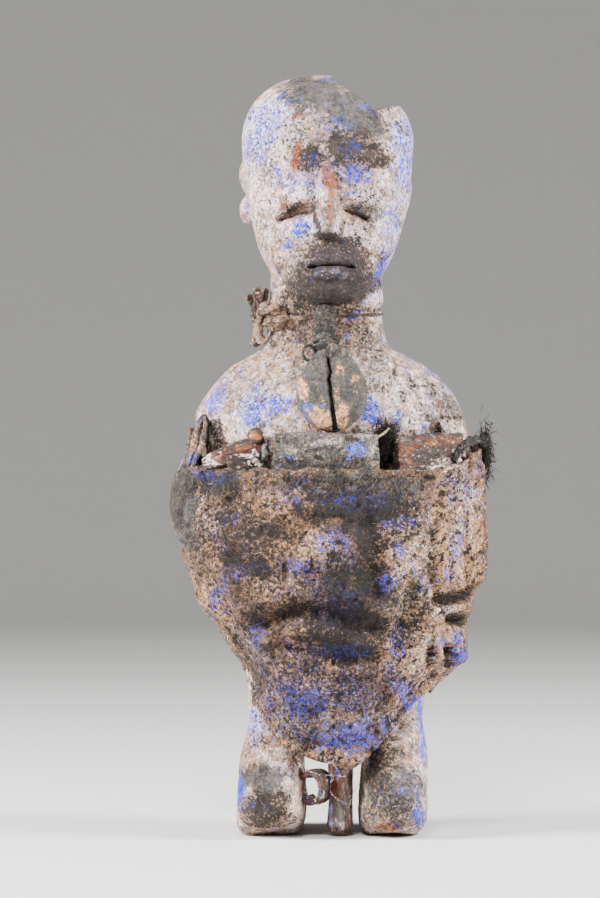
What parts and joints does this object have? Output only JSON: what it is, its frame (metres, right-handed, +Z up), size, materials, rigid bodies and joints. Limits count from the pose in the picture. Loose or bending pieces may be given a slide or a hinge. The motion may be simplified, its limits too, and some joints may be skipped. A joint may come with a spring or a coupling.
{
  "type": "ewe fetish figure",
  "caption": "Small standing carved wooden figure with a caked cloth pouch round the trunk, a cowrie pendant and bark, cloth and fibre tucked into the pouch.",
  "frame": {"origin": "on the floor under the middle of the figure's bounding box", "axes": "+Z up, the figure faces -Y, its left side is toward +X"},
  "size_m": [0.0857, 0.0625, 0.2],
  "materials": {
    "caked_wood": "kaolin-caked carved wood",
    "caked_cloth": "stiff pigment-caked cloth",
    "neck_cord": "caked cord",
    "dark_hide": "dry dark hide",
    "ash_grey_fibre": "ash-grey bound fibre",
    "crusted_shell": "shell under grey crust",
    "red_brown_bark": "dry bark",
    "dark_seed": "dry seed",
    "ash_grey_cloth": "ash-grey folded cloth",
    "black_hair": "dry dark hair",
    "pale_twig": "dry twig",
    "pale_chip": "kaolin-caked chip",
    "dark_rag": "twisted rag",
    "red_brown_wood": "worn red-brown wood"
  },
  "bodies": {
    "root": {"figure": "caked_wood", "wrap": "caked_cloth", "neck_cord": "neck_cord", "neck_tatter": "dark_hide", "pendant_stem": "ash_grey_fibre", "cowrie": "crusted_shell", "bark_roll": "red_brown_bark", "bark_strip": "red_brown_bark", "stick_stub": "red_brown_bark", "seed": "dark_seed", "cloth_packet": "ash_grey_cloth", "hair_tuft": "black_hair", "twig": "pale_twig", "bark_block": "red_brown_bark", "chip_low": "pale_chip", "chip_white": "pale_chip", "rag_tie": "dark_rag", "side_tuft": "black_hair", "bark_curl": "red_brown_bark", "peg": "red_brown_wood"}
  },
  "joints": []
}
